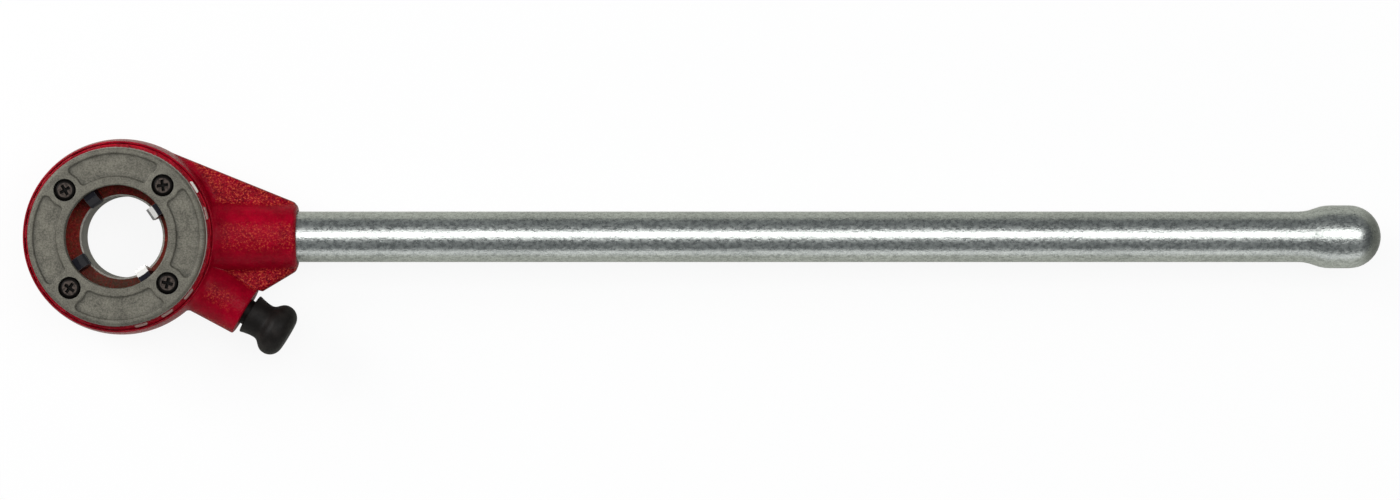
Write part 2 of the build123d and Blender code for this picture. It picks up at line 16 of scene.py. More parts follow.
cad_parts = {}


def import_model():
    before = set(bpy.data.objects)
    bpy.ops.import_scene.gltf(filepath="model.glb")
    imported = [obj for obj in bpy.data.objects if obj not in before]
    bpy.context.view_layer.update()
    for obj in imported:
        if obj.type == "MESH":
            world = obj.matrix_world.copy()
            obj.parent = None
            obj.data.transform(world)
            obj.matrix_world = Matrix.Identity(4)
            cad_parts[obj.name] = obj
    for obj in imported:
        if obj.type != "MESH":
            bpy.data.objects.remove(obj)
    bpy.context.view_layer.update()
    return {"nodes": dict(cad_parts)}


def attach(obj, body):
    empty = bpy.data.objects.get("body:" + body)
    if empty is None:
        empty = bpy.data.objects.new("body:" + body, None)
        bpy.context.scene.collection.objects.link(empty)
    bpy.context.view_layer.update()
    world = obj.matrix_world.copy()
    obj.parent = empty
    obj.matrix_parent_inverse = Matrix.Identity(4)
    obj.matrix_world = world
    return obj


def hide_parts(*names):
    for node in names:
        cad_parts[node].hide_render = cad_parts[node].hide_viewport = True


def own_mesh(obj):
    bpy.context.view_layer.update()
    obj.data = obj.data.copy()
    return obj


log = logging.getLogger("threader")

Colour = tuple[float, float, float]
Point = tuple[float, float, float]
Band = tuple[float, float]
Operand = Union["Value", float]
Feed = Union["Value", bpy.types.NodeSocket, float, int, bool, Sequence[float]]

MM = 0.001

# Most of a cloud-like texture lies between 0.3 and 0.7, so these bands bring out its contrast.
SOFT: Band = (0.3, 0.7)
FIRM: Band = (0.35, 0.65)


class Slot(Enum):
    """The record's material slots."""

    RED_PAINT = "red_paint"
    ZINC_PLATE = "zinc_plate"
    COVER_CASTING = "cover_casting"
    BLACK_SCREW = "black_screw"
    DIE_STEEL = "die_steel"
    BLACK_KNOB = "black_knob"
    SPRING_STEEL = "spring_steel"


@dataclass(frozen=True)
class Grain:
    """A cloud-like texture.

    Attributes:
        size: The size of its features in metres.
        detail: How many finer layers it has.
        roughness: How strong the finer layers are.
        stretch: How much longer its features are along each axis.
    """

    size: float
    detail: float = 3.0
    roughness: float = 0.5
    stretch: Point = (1.0, 1.0, 1.0)


class Value:
    """A number that changes over a surface. Arithmetic on it adds Math nodes to its bench."""

    def __init__(self, bench: "Bench", socket: bpy.types.NodeSocket) -> None:
        """Wraps a socket.

        Args:
            bench: The material that the socket belongs to.
            socket: The output that carries the number.
        """
        self.bench = bench
        self.socket = socket

    def _math(self, operation: str, *operands: Operand) -> "Value":
        """Adds a Math node.

        Args:
            operation: Blender's name of the operation.
            operands: Its values in order.

        Returns:
            The result.
        """
        feeds = dict(enumerate(operands))
        return self.bench.value("ShaderNodeMath", {"operation": operation}, feeds)

    def __add__(self, other: Operand) -> "Value":
        """Gives self + other."""
        return self._math("ADD", self, other)

    def __radd__(self, other: Operand) -> "Value":
        """Gives other + self."""
        return self._math("ADD", other, self)

    def __sub__(self, other: Operand) -> "Value":
        """Gives self - other."""
        return self._math("SUBTRACT", self, other)

    def __rsub__(self, other: Operand) -> "Value":
        """Gives other - self."""
        return self._math("SUBTRACT", other, self)

    def __mul__(self, other: Operand) -> "Value":
        """Gives self * other."""
        return self._math("MULTIPLY", self, other)

    def __rmul__(self, other: Operand) -> "Value":
        """Gives other * self."""
        return self._math("MULTIPLY", other, self)

    def __pow__(self, other: Operand) -> "Value":
        """Gives self to the power of other."""
        return self._math("POWER", self, other)

    def __rpow__(self, other: Operand) -> "Value":
        """Gives other to the power of self."""
        return self._math("POWER", other, self)

    def __abs__(self) -> "Value":
        """Gives the size of the number without its sign."""
        return self._math("ABSOLUTE", self)

    def larger(self, other: Operand) -> "Value":
        """Gives the larger of the two."""
        return self._math("MAXIMUM", self, other)

    def smaller(self, other: Operand) -> "Value":
        """Gives the smaller of the two."""
        return self._math("MINIMUM", self, other)

    def hypot(self, other: "Value") -> "Value":
        """Gives the distance that the two make at right angles."""
        return (self * self + other * other) ** 0.5

    def ramp(self, start: float, end: float, low: float = 0.0, high: float = 1.0) -> "Value":
        """Turns the number smoothly from one level to another.

        Args:
            start: Where the change begins.
            end: Where it is complete. It may be below start.
            low: The level before the change.
            high: The level after it.

        Returns:
            The level, held outside the two ends.
        """
        feeds = {"Value": self, "From Min": start, "From Max": end, "To Min": low, "To Max": high}
        return self.bench.value("ShaderNodeMapRange", {"interpolation_type": "SMOOTHSTEP"}, feeds)


class Bench:
    """Where one material is put together."""

    # Rays that look for an edge or a corner from each point.
    EDGE_SAMPLES = 4
    CORNER_SAMPLES = 6
    # A Mix node has sockets for each kind of data. These are the places of those for colours.
    MIX_FIRST = 6
    MIX_SECOND = 7
    MIX_RESULT = 2

    def __init__(self, name: str) -> None:
        """Starts an empty material.

        Args:
            name: The material's name.
        """
        self.material = bpy.data.materials.new(name)
        self.material.use_nodes = True
        self.tree = self.material.node_tree
        self.tree.nodes.clear()

    def node(
        self,
        kind: str,
        settings: Mapping[str, object] | None = None,
        feeds: Mapping[str | int, Feed] | None = None,
    ) -> bpy.types.Node:
        """Adds a node.

        Args:
            kind: Blender's name of the node type.
            settings: Its properties, which are set first.
            feeds: Values or links for its inputs, by name or by number.

        Returns:
            The node.
        """
        made = self.tree.nodes.new(kind)
        for key, setting in (settings or {}).items():
            setattr(made, key, setting)
        for key, feed in (feeds or {}).items():
            self._feed(made.inputs[key], feed)
        return made

    def _feed(self, socket: bpy.types.NodeSocket, feed: Feed) -> None:
        """Links or sets one input.

        Args:
            socket: The input.
            feed: What it gets.
        """
        if isinstance(feed, Value):
            self.tree.links.new(feed.socket, socket)
        elif isinstance(feed, bpy.types.NodeSocket):
            self.tree.links.new(feed, socket)
        elif socket.type == "RGBA" and len(feed) == 3:
            socket.default_value = (*feed, 1.0)
        else:
            socket.default_value = feed

    def value(
        self,
        kind: str,
        settings: Mapping[str, object] | None = None,
        feeds: Mapping[str | int, Feed] | None = None,
        output: str | int = 0,
    ) -> Value:
        """Adds a node and takes a number from it.

        Args:
            kind: Blender's name of the node type.
            settings: Its properties.
            feeds: Values or links for its inputs.
            output: The output to take.

        Returns:
            The number.
        """
        return Value(self, self.node(kind, settings, feeds).outputs[output])

    def place(self) -> bpy.types.NodeSocket:
        """Gives the point on the surface in metres, which moves with the piece."""
        return self.node("ShaderNodeTexCoord").outputs["Object"]

    def axes(self) -> tuple[Value, Value, Value]:
        """Gives the x, y and z of the point on the surface, in metres."""
        parts = self.node("ShaderNodeSeparateXYZ", feeds={"Vector": self.place()}).outputs
        return Value(self, parts["X"]), Value(self, parts["Y"]), Value(self, parts["Z"])

    def turned(self, angle: float) -> tuple[Value, Value]:
        """Measures from the bore's axis along a direction and across it.

        Args:
            angle: The direction, in degrees from +X.

        Returns:
            How far along it the point on the surface is, and how far to its left.
        """
        x, y, _ = self.axes()
        east, north = math.cos(math.radians(angle)), math.sin(math.radians(angle))
        return x * east + y * north, y * east - x * north

    def noise(self, grain: Grain) -> Value:
        """Adds a cloud-like texture.

        Args:
            grain: Its size, layers and stretch.

        Returns:
            Numbers around 0.5.
        """
        cell = [grain.size * share for share in grain.stretch]
        scaled = self.node(
            "ShaderNodeVectorMath", {"operation": "DIVIDE"}, {0: self.place(), 1: cell}
        )
        feeds = {
            "Vector": scaled.outputs[0],
            "Scale": 1.0,
            "Detail": grain.detail,
            "Roughness": grain.roughness,
        }
        return self.value("ShaderNodeTexNoise", feeds=feeds)

    def blend(self, first: Feed, second: Feed, share: Operand) -> bpy.types.NodeSocket:
        """Mixes two colours.

        Args:
            first: The colour at share 0.
            second: The colour at share 1.
            share: How much of the second shows.

        Returns:
            The mixed colour.
        """
        feeds = {0: share, self.MIX_FIRST: first, self.MIX_SECOND: second}
        return self.node("ShaderNodeMix", {"data_type": "RGBA"}, feeds).outputs[self.MIX_RESULT]

    def level(self, first: Operand, second: Operand, share: Value) -> Value:
        """Gives first where share is 0 and second where it is 1."""
        return first + (second - first) * share

    def rounded(self, radius: float) -> bpy.types.NodeSocket:
        """Gives the surface's direction as if its edges had the radius, in metres."""
        settings = {"samples": self.EDGE_SAMPLES}
        return self.node("ShaderNodeBevel", settings, {"Radius": radius}).outputs[0]

    def worn_edges(self, radius: float) -> Value:
        """Finds sharp edges.

        Args:
            radius: How far from an edge it still shows, in metres.

        Returns:
            0 on flat ground and up to 1 at an edge.
        """
        feeds = {
            0: self.rounded(radius),
            1: self.node("ShaderNodeNewGeometry").outputs["Normal"],
        }
        settings = {"operation": "DOT_PRODUCT"}
        return 1 - self.value("ShaderNodeVectorMath", settings, feeds, "Value")

    def crevices(self, reach: float) -> Value:
        """Finds narrow corners, where shade falls, so that finishes can paint shade there.

        Args:
            reach: How far from a corner it still shows, in metres.

        Returns:
            0 on open ground and up to 1 in a corner.
        """
        settings = {"samples": self.CORNER_SAMPLES}
        return 1 - self.value("ShaderNodeAmbientOcclusion", settings, {"Distance": reach}, "AO")

    def relief(
        self, height: Value, depth: float, strength: float = 1.0, rounding: float = 0.0
    ) -> bpy.types.NodeSocket:
        """Turns heights into a bumpy normal.

        Args:
            height: Heights from 0 to 1.
            depth: How deep a height of 1 is, in metres.
            strength: How much of it shows.
            rounding: The radius of rounded edges under it, in metres, or 0 for none.

        Returns:
            The normal.
        """
        feeds: dict[str | int, Feed] = {"Height": height, "Distance": depth, "Strength": strength}
        if rounding > 0:
            feeds["Normal"] = self.rounded(rounding)
        return self.node("ShaderNodeBump", feeds=feeds).outputs[0]

    def finish(self, feeds: Mapping[str, Feed]) -> bpy.types.Material:
        """Closes the material.

        Args:
            feeds: The shader's inputs.

        Returns:
            The material.
        """
        shader = self.node("ShaderNodeBsdfPrincipled", feeds=feeds)
        self.node("ShaderNodeOutputMaterial", feeds={"Surface": shader.outputs[0]})
        return self.material


@dataclass(frozen=True)
class Finish(ABC):
    """A surface finish that one material shows.

    In every finish, a band says where a change begins and where it is complete, levels say from
    what to what it goes, and a share says how much of a colour, height or roughness shows.
    """

    name: str

    @abstractmethod
    def material(self) -> bpy.types.Material:
        """Makes the material."""


@dataclass(frozen=True)
class RedEnamel(Finish):
    """Red enamel over rough cast iron: deep red, with warm glints painted where the casting
    stands up.
    """

    name: str = "red_enamel"
    deep: Colour = (0.205, 0.0004, 0.0080)
    bright: Colour = (0.360, 0.0006, 0.0155)
    glint: Colour = (0.760, 0.135, 0.055)
    shade: Colour = (0.060, 0.0005, 0.0040)
    worn_sheen: Colour = (0.780, 0.330, 0.300)
    bare: Colour = (0.370, 0.350, 0.310)
    coarse_grain: Grain = Grain(1.05 * MM, roughness=0.6)
    fine_grain: Grain = Grain(0.6 * MM, detail=2.0)
    coarse_share: float = 0.6
    fine_share: float = 0.4
    patch_grain: Grain = Grain(16 * MM, detail=2.0)
    peel_grain: Grain = Grain(3.4 * MM, detail=2.0)
    patch_share: float = 0.55
    peel_share: float = 0.45
    glint_band: Band = (0.52, 0.60)
    glint_share: float = 0.42
    pit_band: Band = (0.47, 0.39)
    pit_share: float = 0.65
    crevice_reach: float = 1.6 * MM
    crevice_band: Band = (0.35, 0.95)
    crevice_share: float = 0.4
    edge_radius: float = 0.5 * MM
    edge_band: Band = (0.05, 0.25)
    edge_levels: Band = (0.2, 1.0)
    edge_share: float = 0.5
    roughness: float = 0.16
    grain_roughness: float = 0.16
    patch_roughness: float = 0.06
    flat_height: float = 0.7
    cast_height: float = 0.3
    peel_height: float = 0.3
    relief_depth: float = 0.50 * MM
    gloss: float = 0.06
    bare_shade: float = 0.55
    bare_roughness: float = 0.38
    bare_grain_roughness: float = 0.14
    bare_smoothness: float = 0.8
    bare_metallic: float = 0.75

    def bare_share(self, bench: Bench) -> Value | None:
        """Gives where the metal is bare, or None where the whole piece is painted."""
        return None

    def cast_share(self, bench: Bench) -> Operand:
        """Gives how rough the casting is, where 1 is as it was cast. It also sets how many
        painted glints and pits of painted shade show.
        """
        return 1.0

    def stained(self, bench: Bench, colour: bpy.types.NodeSocket) -> bpy.types.NodeSocket:
        """Gives the paint's colour with what has settled on it."""
        return colour

    def material(self) -> bpy.types.Material:
        """Makes the material.

        Returns:
            The material, with bare metal where bare_share gives it.
        """
        bench = Bench(self.name)
        cast = self.cast_share(bench)
        coarse = bench.noise(self.coarse_grain)
        fine = bench.noise(self.fine_grain)
        peel = bench.noise(self.peel_grain)
        patches = bench.noise(self.patch_grain)
        grains = coarse * self.coarse_share + fine * self.fine_share
        tone = patches.ramp(*SOFT) * self.patch_share + peel.ramp(*SOFT) * self.peel_share
        # Painted glints: warm colour where the grain stands up, standing in for the lamp's
        # sparkle.
        glints = grains.ramp(*self.glint_band) * cast * self.glint_share
        # Painted shade in the grain's low pits and in narrow corners.
        pits = grains.ramp(*self.pit_band) * cast * self.pit_share
        corners = bench.crevices(self.crevice_reach).ramp(*self.crevice_band)
        # Edges turn pale, as wear and as a painted highlight on their rounding.
        edges = bench.worn_edges(self.edge_radius).ramp(*self.edge_band)
        edges = edges * peel.ramp(*FIRM, *self.edge_levels)
        colour = bench.blend(self.deep, self.bright, tone)
        colour = bench.blend(colour, self.glint, glints)
        colour = bench.blend(colour, self.shade, pits)
        colour = bench.blend(colour, self.shade, corners * self.crevice_share)
        colour = bench.blend(colour, self.worn_sheen, edges * self.edge_share)
        colour = self.stained(bench, colour)
        rough = self.roughness + grains * self.grain_roughness * cast
        rough = rough + patches * self.patch_roughness
        height = grains * (cast * self.cast_height + self.flat_height) + peel * self.peel_height
        metallic: Operand = 0.0
        bare = self.bare_share(bench)
        if bare is not None:
            dull = [level * self.bare_shade for level in self.bare]
            colour = bench.blend(colour, bench.blend(self.bare, dull, coarse), bare)
            turned = self.bare_roughness + coarse * self.bare_grain_roughness
            rough = bench.level(rough, turned, bare)
            height = height * (1 - bare * self.bare_smoothness)
            metallic = bare * self.bare_metallic
        return bench.finish(
            {
                "Base Color": colour,
                "Roughness": rough,
                "Metallic": metallic,
                "Specular IOR Level": self.gloss,
                "Normal": bench.relief(height, self.relief_depth, rounding=self.edge_radius),
            }
        )


@dataclass(frozen=True)
class HousingEnamel(RedEnamel):
    """The housing's enamel: rough on the webs, smoother on the ring and the bosses."""

    name: str = "housing_enamel"
    bore_band: Band = (49.3 * MM, 49.15 * MM)
    paint_band: Band = (40 * MM, 39 * MM)
    ring_band: Band = (52 * MM, 56 * MM)
    mid_height: float = 28 * MM
    web_band: Band = (5.5 * MM, 8.5 * MM)
    web_share: float = 1.25
    crown_rise: Band = (41 * MM, 43 * MM)
    crown_top: Band = (9 * MM, 5 * MM)
    crown_foot: Band = (-9 * MM, -5 * MM)
    crown_share: float = 0.7
    pawl_direction: float = -31.0
    pawl_crown_side: Band = (6 * MM, 3 * MM)
    pawl_crown_rise: Band = (38 * MM, 39.5 * MM)
    pawl_crown_end: Band = (71 * MM, 65 * MM)
    pawl_crown_share: float = 0.8
    smooth_share: float = 0.08

    def bare_share(self, bench: Bench) -> Value:
        """Leaves the turned bore of the ring bare, up to where paint has run in.

        Args:
            bench: The material's bench.

        Returns:
            1 on bare metal and 0 on paint.
        """
        x, y, z = bench.axes()
        return x.hypot(y).ramp(*self.bore_band) * z.ramp(*self.paint_band)

    def cast_share(self, bench: Bench) -> Value:
        """Makes the flat webs rough, and the crowns of the two bosses less so. The crowns lie
        where the lamp's highlight falls, so that their painted glints stand there.

        Args:
            bench: The material's bench.

        Returns:
            How rough the casting is, little on the ring and most on the webs.
        """
        x, y, z = bench.axes()
        radius = x.hypot(y)
        web = 1 - abs(z - self.mid_height).ramp(*self.web_band)
        # The crowns get painted glints where the lamp's highlight falls on the two bosses.
        crown = z.ramp(*self.crown_rise) * y.ramp(*self.crown_top) * y.ramp(*self.crown_foot)
        _, beside = bench.turned(self.pawl_direction)
        pawl_crown = abs(beside).ramp(*self.pawl_crown_side) * z.ramp(*self.pawl_crown_rise)
        pawl_crown = pawl_crown * radius.ramp(*self.pawl_crown_end)
        rough = (web * self.web_share).larger(crown * self.crown_share)
        rough = rough.larger(pawl_crown * self.pawl_crown_share)
        return rough * radius.ramp(*self.ring_band) + self.smooth_share


@dataclass(frozen=True)
class HeadEnamel(RedEnamel):
    """The die head's enamel, with its guide bore, turned faces and some lug ends bare."""

    name: str = "head_enamel"
    oil: Colour = (0.140, 0.029, 0.014)
    grime: Colour = (0.095, 0.065, 0.044)
    bare_glint: Colour = (0.800, 0.780, 0.710)
    guide_band: Band = (22.7 * MM, 22.4 * MM)
    seat_band: Band = (49.8 * MM, 49.9 * MM)
    back_band: Band = (0.3 * MM, 0.1 * MM)
    rim_band: Band = (40 * MM, 38 * MM)
    floor_band: Band = (22.5 * MM, 25.5 * MM)
    chamber_levels: Band = (0.0, 0.8)
    smooth_share: float = 0.2
    lug_out_band: Band = (47.1 * MM, 47.4 * MM)
    lug_side_band: Band = (3.6 * MM, 3.3 * MM)
    lug_front_band: Band = (47.9 * MM, 48.2 * MM)
    glinting_lug: float = 33.0
    dull_lugs: tuple[float, ...] = (-75.0, -57.0, -39.0, 15.0)
    dull_share: float = 0.7
    chamber_band: Band = (33 * MM, 32 * MM)
    oil_grain: Grain = Grain(1.7 * MM, roughness=0.6)
    oil_band: Band = (0.38, 0.62)
    oil_levels: Band = (0.35, 0.95)
    grime_side_band: Band = (-8 * MM, -26 * MM)
    grime_grain: Grain = Grain(1.1 * MM)
    grime_band: Band = (0.35, 0.6)
    grime_levels: Band = (0.4, 1.0)
    grime_share: float = 0.8

    def cast_share(self, bench: Bench) -> Value:
        """Makes the chamber rough and the rest nearly smooth.

        Args:
            bench: The material's bench.

        Returns:
            How rough the casting is.
        """
        x, y, z = bench.axes()
        inside = x.hypot(y).ramp(*self.rim_band)
        return inside * z.ramp(*self.floor_band, *self.chamber_levels) + self.smooth_share

    def lug_end(self, bench: Bench, angle: float) -> Value:
        """Finds the front end of one lug.

        Args:
            bench: The material's bench.
            angle: Where the lug stands, in degrees from +X.

        Returns:
            1 on the lug's end and 0 elsewhere.
        """
        along, across = bench.turned(angle)
        _, _, z = bench.axes()
        side = abs(across).ramp(*self.lug_side_band)
        return along.ramp(*self.lug_out_band) * side * z.ramp(*self.lug_front_band)

    def bare_share(self, bench: Bench) -> Value:
        """Leaves the guide bore, the turned faces and the dull lug ends bare.

        Args:
            bench: The material's bench.

        Returns:
            1 on bare metal and 0 on paint.
        """
        x, y, z = bench.axes()
        share = x.hypot(y).ramp(*self.guide_band)
        share = share.larger(z.ramp(*self.seat_band)).larger(z.ramp(*self.back_band))
        for angle in self.dull_lugs:
            share = share.larger(self.lug_end(bench, angle) * self.dull_share)
        return share

    def stained(self, bench: Bench, colour: bpy.types.NodeSocket) -> bpy.types.NodeSocket:
        """Darkens the chamber, where oil and chips have been, and paints one bare lug end pale,
        as a painted highlight where it catches the light.

        Args:
            bench: The material's bench.
            colour: The paint's colour.

        Returns:
            The stained colour.
        """
        x, y, _ = bench.axes()
        inside = x.hypot(y).ramp(*self.chamber_band)
        oily = bench.noise(self.oil_grain).ramp(*self.oil_band, *self.oil_levels)
        colour = bench.blend(colour, self.oil, inside * oily)
        dirty = bench.noise(self.grime_grain).ramp(*self.grime_band, *self.grime_levels)
        dirty = y.ramp(*self.grime_side_band) * dirty
        colour = bench.blend(colour, self.grime, inside * dirty * self.grime_share)
        # One bare lug end gets a pale painted highlight.
        return bench.blend(colour, self.bare_glint, self.lug_end(bench, self.glinting_lug))


@dataclass(frozen=True)
class ZincPlating(Finish):
    """Electroplated zinc on pipe: grey, finely dappled, darker in flecks on the bulb's round end.
    """

    name: str = "zinc_plating"
    light: Colour = (0.690, 0.715, 0.685)
    dull: Colour = (0.280, 0.297, 0.288)
    end_dark: Colour = (0.085, 0.090, 0.082)
    cloud_grain: Grain = Grain(14 * MM, stretch=(3.0, 1.0, 1.0))
    fleck_grain: Grain = Grain(1.7 * MM, roughness=0.6, stretch=(1.5, 1.0, 1.0))
    dapple_grain: Grain = Grain(0.8 * MM, detail=2.0)
    draw_grain: Grain = Grain(0.8 * MM, detail=2.0, stretch=(60.0, 1.0, 1.0))
    cloud_share: float = 0.2
    fleck_share: float = 0.4
    dapple_share: float = 0.4
    end_band: Band = (651 * MM, 661 * MM)
    end_fleck_band: Band = (0.3, 0.6)
    end_levels: Band = (0.75, 1.0)
    end_share: float = 0.85
    metallic: float = 1.0
    roughness: float = 0.22
    fleck_roughness: float = 0.10
    draw_roughness: float = 0.05
    dapple_height: float = 0.6
    fleck_height: float = 0.8
    draw_height: float = 0.25
    relief_depth: float = 0.16 * MM
    relief_share: float = 0.7

    def material(self) -> bpy.types.Material:
        """Makes the material.

        Returns:
            The material.
        """
        bench = Bench(self.name)
        dapple = bench.noise(self.dapple_grain)
        flecks = bench.noise(self.fleck_grain)
        cloud = bench.noise(self.cloud_grain)
        draw = bench.noise(self.draw_grain)
        tone = cloud.ramp(*SOFT) * self.cloud_share + flecks.ramp(*FIRM) * self.fleck_share
        tone = tone + dapple.ramp(*SOFT) * self.dapple_share
        x, _, _ = bench.axes()
        # Darker in flecks towards the bulb's round end.
        end = x.ramp(*self.end_band) * flecks.ramp(*self.end_fleck_band, *self.end_levels)
        colour = bench.blend(self.dull, self.light, tone)
        colour = bench.blend(colour, self.end_dark, end * self.end_share)
        rough = self.roughness + flecks.ramp(*SOFT) * self.fleck_roughness
        rough = rough + draw * self.draw_roughness
        height = dapple * self.dapple_height + flecks * self.fleck_height
        height = height + draw * self.draw_height
        return bench.finish(
            {
                "Base Color": colour,
                "Metallic": self.metallic,
                "Roughness": rough,
                "Normal": bench.relief(height, self.relief_depth, self.relief_share),
            }
        )


@dataclass(frozen=True)
class CoverCasting(Finish):
    """Dull grey casting with a fine sandy skin, with painted shade in the panels' corners and
    edges painted pale as wear and sheen.
    """

    name: str = "cover_casting"
    light: Colour = (0.215, 0.203, 0.162)
    dark: Colour = (0.060, 0.056, 0.043)
    corner_shade: Colour = (0.020, 0.019, 0.016)
    worn_sheen: Colour = (0.300, 0.295, 0.265)
    cloud_grain: Grain = Grain(7 * MM)
    sand_grain: Grain = Grain(0.8 * MM, roughness=0.6)
    cloud_share: float = 0.35
    sand_share: float = 0.65
    crevice_reach: float = 3.0 * MM
    crevice_band: Band = (0.05, 0.34)
    crevice_share: float = 0.9
    edge_radius: float = 0.5 * MM
    edge_band: Band = (0.03, 0.2)
    edge_share: float = 0.4
    metallic: float = 0.35
    roughness: float = 0.5
    sand_roughness: float = 0.2
    relief_depth: float = 0.22 * MM
    relief_share: float = 0.6
    rounding: float = 0.3 * MM

    def material(self) -> bpy.types.Material:
        """Makes the material.

        Returns:
            The material.
        """
        bench = Bench(self.name)
        sand = bench.noise(self.sand_grain)
        cloud = bench.noise(self.cloud_grain)
        tone = cloud.ramp(*SOFT) * self.cloud_share + sand.ramp(*SOFT) * self.sand_share
        corners = bench.crevices(self.crevice_reach).ramp(*self.crevice_band)
        edges = bench.worn_edges(self.edge_radius).ramp(*self.edge_band)
        colour = bench.blend(self.dark, self.light, tone)
        # Painted shade in the panels' corners. Painted sheen and wear on the edges.
        colour = bench.blend(colour, self.corner_shade, corners * self.crevice_share)
        colour = bench.blend(colour, self.worn_sheen, edges * self.edge_share)
        relief = bench.relief(sand, self.relief_depth, self.relief_share, self.rounding)
        return bench.finish(
            {
                "Base Color": colour,
                "Metallic": self.metallic,
                "Roughness": self.roughness + sand * self.sand_roughness,
                "Normal": relief,
            }
        )


@dataclass(frozen=True)
class DarkSteel(Finish):
    """Steel with a dark skin that is brighter where it is ground or has wear on it."""

    name: str = "dark_steel"
    dark: Colour = (0.040, 0.042, 0.050)
    bright: Colour = (0.50, 0.49, 0.47)
    skin_grain: Grain = Grain(0.5 * MM)
    skin_gain: float = 1.6
    edge_radius: float = 0.25 * MM
    edge_band: Band = (0.02, 0.2)
    edge_share: float = 0.5
    metallic: float = 0.8
    roughness: float = 0.34
    skin_roughness: float = 0.12
    gloss: float = 0.4
    relief_depth: float = 0.05 * MM
    relief_share: float = 0.5

    def ground_share(self, bench: Bench) -> Operand:
        """Gives where the steel is ground bright."""
        return 0.0

    def metal_share(self, bench: Bench) -> Operand:
        """Gives where the steel shines like bare metal."""
        return self.metallic

    def material(self) -> bpy.types.Material:
        """Makes the material.

        Returns:
            The material.
        """
        bench = Bench(self.name)
        skin = bench.noise(self.skin_grain)
        edges = bench.worn_edges(self.edge_radius).ramp(*self.edge_band) * self.edge_share
        share = edges.larger(self.ground_share(bench))
        tone = bench.blend(self.dark, [level * self.skin_gain for level in self.dark], skin)
        return bench.finish(
            {
                "Base Color": bench.blend(tone, self.bright, share),
                "Metallic": self.metal_share(bench),
                "Roughness": self.roughness + skin * self.skin_roughness,
                "Specular IOR Level": self.gloss,
                "Normal": bench.relief(skin, self.relief_depth, self.relief_share),
            }
        )


@dataclass(frozen=True)
class PawlSteel(DarkSteel):
    """The pawl's and its pin's hardened steel."""

    name: str = "pawl_steel"
    dark: Colour = (0.11, 0.11, 0.115)


@dataclass(frozen=True)
class SpringSteel(DarkSteel):
    """Grey drawn wire."""

    name: str = "spring_steel"
    dark: Colour = (0.16, 0.16, 0.16)
    roughness: float = 0.28


@dataclass(frozen=True)
class DieSteel(DarkSteel):
    """The dies' blued steel, with ground noses, painted brighter as a highlight on the handle's
    side, and bright teeth.
    """

    name: str = "die_steel"
    dark: Colour = (0.0055, 0.0055, 0.0100)
    bright: Colour = (0.80, 0.79, 0.76)
    gloss: float = 0.08
    edge_share: float = 0.25
    nose_band: Band = (24.2 * MM, 23.8 * MM)
    highlight_side_band: Band = (-2 * MM, 2 * MM)
    highlight_side_levels: Band = (0.05, 0.95)
    teeth_band: Band = (47.2 * MM, 47.0 * MM)

    def nose(self, bench: Bench) -> Value:
        """Gives where the noses are, from 0 to 1."""
        x, y, _ = bench.axes()
        return x.hypot(y).ramp(*self.nose_band)

    def ground_share(self, bench: Bench) -> Value:
        """Gives the ground noses, with a painted highlight that is strongest on the dies on the
        handle's side.
        """
        x, _, _ = bench.axes()
        return self.nose(bench) * x.ramp(*self.highlight_side_band, *self.highlight_side_levels)

    def metal_share(self, bench: Bench) -> Value:
        """Makes the teeth shine, which are the noses below their front faces."""
        _, _, z = bench.axes()
        return self.nose(bench) * z.ramp(*self.teeth_band)


@dataclass(frozen=True)
class ScrewBlack(DarkSteel):
    """Blackened screws, lighter brown on the flat of the head, as scuffed metal and as a painted
    reflection of the lamp.
    """

    name: str = "screw_black"
    dark: Colour = (0.004, 0.0035, 0.003)
    bright: Colour = (0.085, 0.066, 0.056)
    metallic: float = 0.0
    gloss: float = 0.08
    roughness: float = 0.4
    edge_share: float = 0.15
    first_angle: float = 47.8
    circle_radius: float = 36.2 * MM
    flat_band: Band = (55.48 * MM, 55.57 * MM)
    scuff_sheen_band: Band = (4.1 * MM, 3.6 * MM)
    patch_grain: Grain = Grain(1.1 * MM)
    patch_band: Band = (0.35, 0.6)
    patch_levels: Band = (0.35, 1.0)

    def ground_share(self, bench: Bench) -> Value:
        """Gives the flat of the head round the cross recess, painted lighter as scuffed metal and
        as a reflection of the lamp.

        Args:
            bench: The material's bench.

        Returns:
            1 where the flat is painted lighter and 0 where it is black.
        """
        along, across = (abs(side) for side in bench.turned(self.first_angle))
        # The four screws stand a quarter turn apart, so each is nearest to one of two directions.
        out = along.larger(across) - self.circle_radius
        scuff_sheen = out.hypot(along.smaller(across)).ramp(*self.scuff_sheen_band)
        patchy = bench.noise(self.patch_grain).ramp(*self.patch_band, *self.patch_levels)
        _, _, z = bench.axes()
        return z.ramp(*self.flat_band) * scuff_sheen * patchy


@dataclass(frozen=True)
class KnobBlack(Finish):
    """Matt black enamel on the turned knob, a little dusty."""

    name: str = "knob_black"
    colour: Colour = (0.0075, 0.0063, 0.0056)
    dust_grain: Grain = Grain(6 * MM, detail=4.0)
    dust_band: Band = (0.45, 0.75)
    dust_gain: float = 2.2
    peel_grain: Grain = Grain(1.2 * MM)
    roughness: float = 0.44
    peel_roughness: float = 0.16
    gloss: float = 0.15
    relief_depth: float = 0.14 * MM
    relief_share: float = 0.7

    def material(self) -> bpy.types.Material:
        """Makes the material.

        Returns:
            The material.
        """
        bench = Bench(self.name)
        peel = bench.noise(self.peel_grain)
        dust = bench.noise(self.dust_grain).ramp(*self.dust_band)
        dusty = [level * self.dust_gain for level in self.colour]
        return bench.finish(
            {
                "Base Color": bench.blend(self.colour, dusty, dust),
                "Roughness": self.roughness + peel * self.peel_roughness,
                "Specular IOR Level": self.gloss,
                "Normal": bench.relief(peel, self.relief_depth, self.relief_share),
            }
        )


